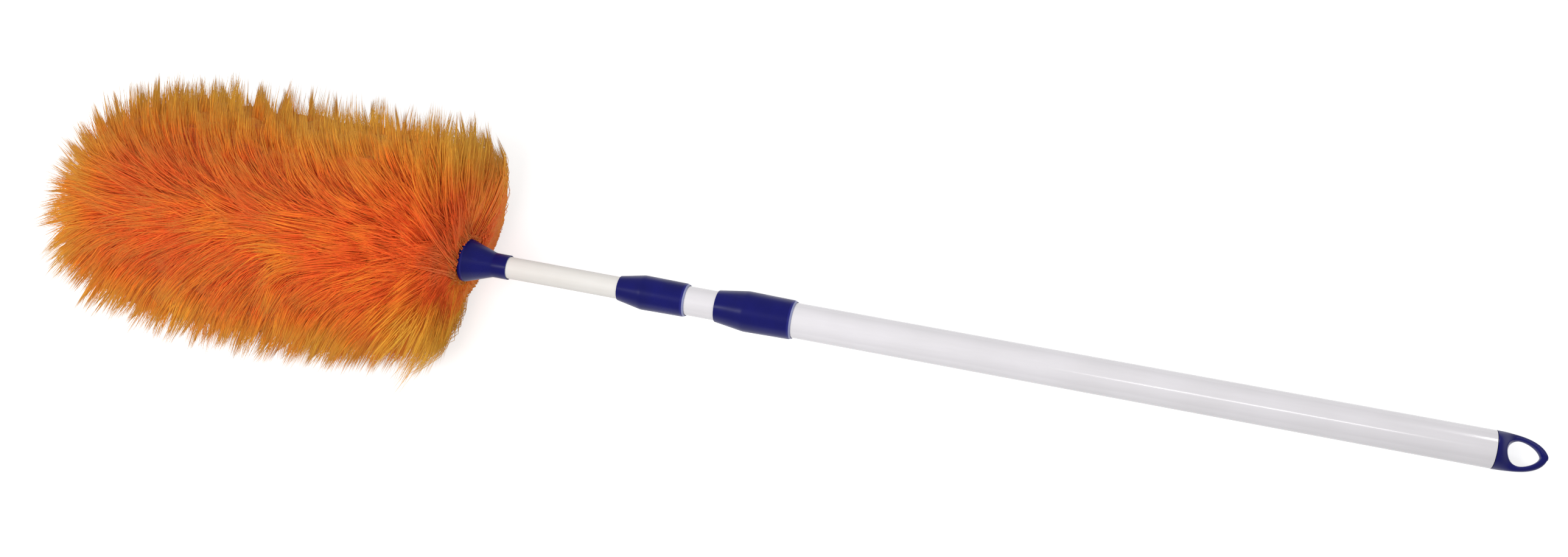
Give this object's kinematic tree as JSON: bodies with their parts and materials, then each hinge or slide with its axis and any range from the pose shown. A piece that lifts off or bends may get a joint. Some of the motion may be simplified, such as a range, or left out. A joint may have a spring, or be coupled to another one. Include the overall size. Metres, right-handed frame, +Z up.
{
  "type": "telescopic wool duster",
  "caption": "Telescopic duster: long-pile orange wool head on nested white plastic tubes with blue collars, twist locks and a hanging loop.",
  "frame": {"origin": "middle of the bounding box at floor level, with the duster lying on the floor", "axes": "+X from the wool head towards the hanging loop, +Y across, +Z up; the pole leans about 4.6 degrees, head end up"},
  "size_m": [1.0649, 0.2055, 0.1878],
  "materials": {
    "white_tube": "satin extruded plastic",
    "blue_moulding": "semi-gloss moulding",
    "natural_moulding": "natural moulding",
    "core_rod": "plain extruded rod",
    "hide": "suede side of the fleece",
    "tack_steel": "plain steel",
    "orange_wool": "dyed long-pile wool"
  },
  "bodies": {
    "handle": {"outer_tube": "white_tube", "large_collar": "blue_moulding", "hang_cap": "blue_moulding"},
    "large_lock": {"large_lock_ring": "natural_moulding"},
    "middle_section": {"middle_tube": "white_tube", "large_lock_plug": "natural_moulding", "small_collar": "blue_moulding"},
    "small_lock": {"small_lock_ring": "natural_moulding"},
    "front_section": {"inner_tube": "white_tube", "small_lock_plug": "natural_moulding", "head_ferrule": "blue_moulding", "head_core": "core_rod", "fleece_strip": "hide", "fleece_tip_disc": "hide", "rear_tack": "tack_steel", "front_tack": "tack_steel", "tip_tack": "tack_steel", "wool_pile": "orange_wool"}
  },
  "joints": [
    {"name": "middle_slide", "type": "slide", "parent": "handle", "child": "large_lock", "axis": [-0.9967, 0, 0.0806], "range_m": [-0.0217, 0.4262]},
    {"name": "middle_twist", "type": "hinge", "parent": "large_lock", "child": "middle_section", "pos_m": [0.42372, 0, 0.01864], "axis": [-0.9967, 0, 0.0806], "range_deg": [0, 50]},
    {"name": "inner_slide", "type": "slide", "parent": "middle_section", "child": "small_lock", "axis": [-0.9967, 0, 0.0806], "range_m": [-0.0851, 0.3688]},
    {"name": "inner_twist", "type": "hinge", "parent": "small_lock", "child": "front_section", "pos_m": [0.29005, 0, 0.02945], "axis": [-0.9967, 0, 0.0806], "range_deg": [0, 50]}
  ]
}
